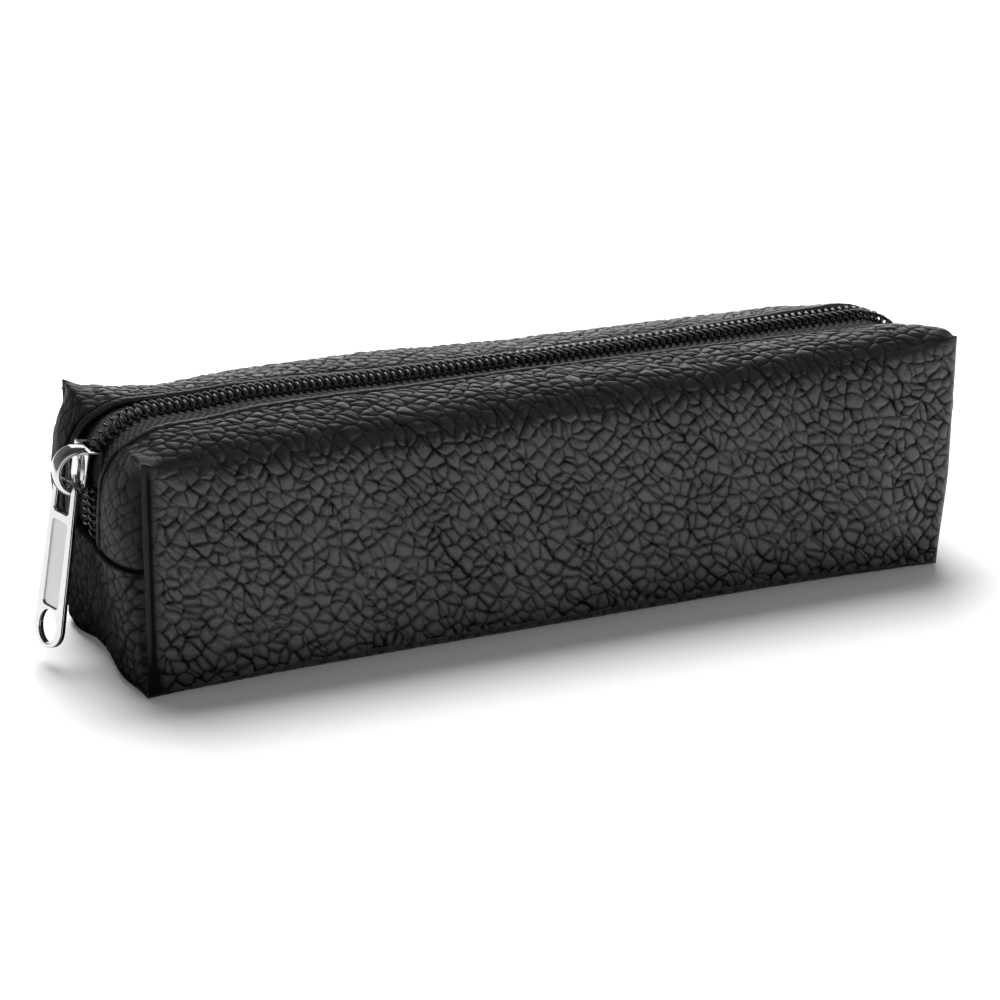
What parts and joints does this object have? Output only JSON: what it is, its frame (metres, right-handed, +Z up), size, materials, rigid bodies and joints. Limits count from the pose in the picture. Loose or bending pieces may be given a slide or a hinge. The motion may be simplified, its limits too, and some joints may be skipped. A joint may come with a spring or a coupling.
{
  "type": "zipped pen case",
  "caption": "Soft box-shaped leather pen case with boxed ends; a coil zip runs over the top and down both ends, with a slider and a long hanging pull.",
  "frame": {"origin": "centre of the bottom, on the surface that the case stands on", "axes": "+X along the length (slider at the -X end), -Y is the front, +Z up"},
  "size_m": [0.2166, 0.056, 0.059],
  "materials": {
    "leather": "pebbled, satin",
    "lining": "plain weave",
    "binding": "ribbed tape",
    "zip_tape": "herringbone weave",
    "zip_coil": "gloss",
    "thread": "twisted",
    "slider_metal": "polished"
  },
  "bodies": {
    "case": {"leather_wrap": "leather", "lining_wrap": "lining", "left_end_lower": "leather", "left_lining": "lining", "left_seam_binding": "binding", "left_flap_front": "leather", "left_tape_front": "zip_tape", "left_coil_front": "zip_coil", "left_corner_binding_front": "binding", "left_flap_back": "leather", "left_tape_back": "zip_tape", "left_coil_back": "zip_coil", "left_corner_binding_back": "binding", "right_end_lower": "leather", "right_lining": "lining", "right_seam_binding": "binding", "right_flap_front": "leather", "right_tape_front": "zip_tape", "right_coil_front": "zip_coil", "right_corner_binding_front": "binding", "right_flap_back": "leather", "right_tape_back": "zip_tape", "right_coil_back": "zip_coil", "right_corner_binding_back": "binding"},
    "front_lip": {"front_lip": "leather", "front_tape": "zip_tape", "front_coil": "zip_coil", "front_stitches": "thread"},
    "back_lip": {"back_lip": "leather", "back_tape": "zip_tape", "back_coil": "zip_coil", "back_stitches": "thread"},
    "slider": {"slider_body": "slider_metal", "slider_bridge": "slider_metal"},
    "pull": {"pull_tab": "slider_metal"}
  },
  "joints": [
    {"name": "front_lip_fold", "type": "hinge", "parent": "case", "child": "front_lip", "pos_m": [0, -0.028, 0.054], "axis": [1, 0, 0], "range_deg": [0, 95]},
    {"name": "back_lip_fold", "type": "hinge", "parent": "case", "child": "back_lip", "pos_m": [0, 0.028, 0.054], "axis": [-1, 0, 0], "range_deg": [0, 95]},
    {"name": "slider_corner", "type": "hinge", "parent": "case", "child": "slider", "pos_m": [-0.088, 0, 0.0428], "axis": [0, 1, 0], "range_deg": [-9, 81]},
    {"name": "pull_swing", "type": "hinge", "parent": "slider", "child": "pull", "pos_m": [-0.10829, 0, 0.04318], "axis": [0, 1, 0], "range_deg": [-5, 150]}
  ]
}
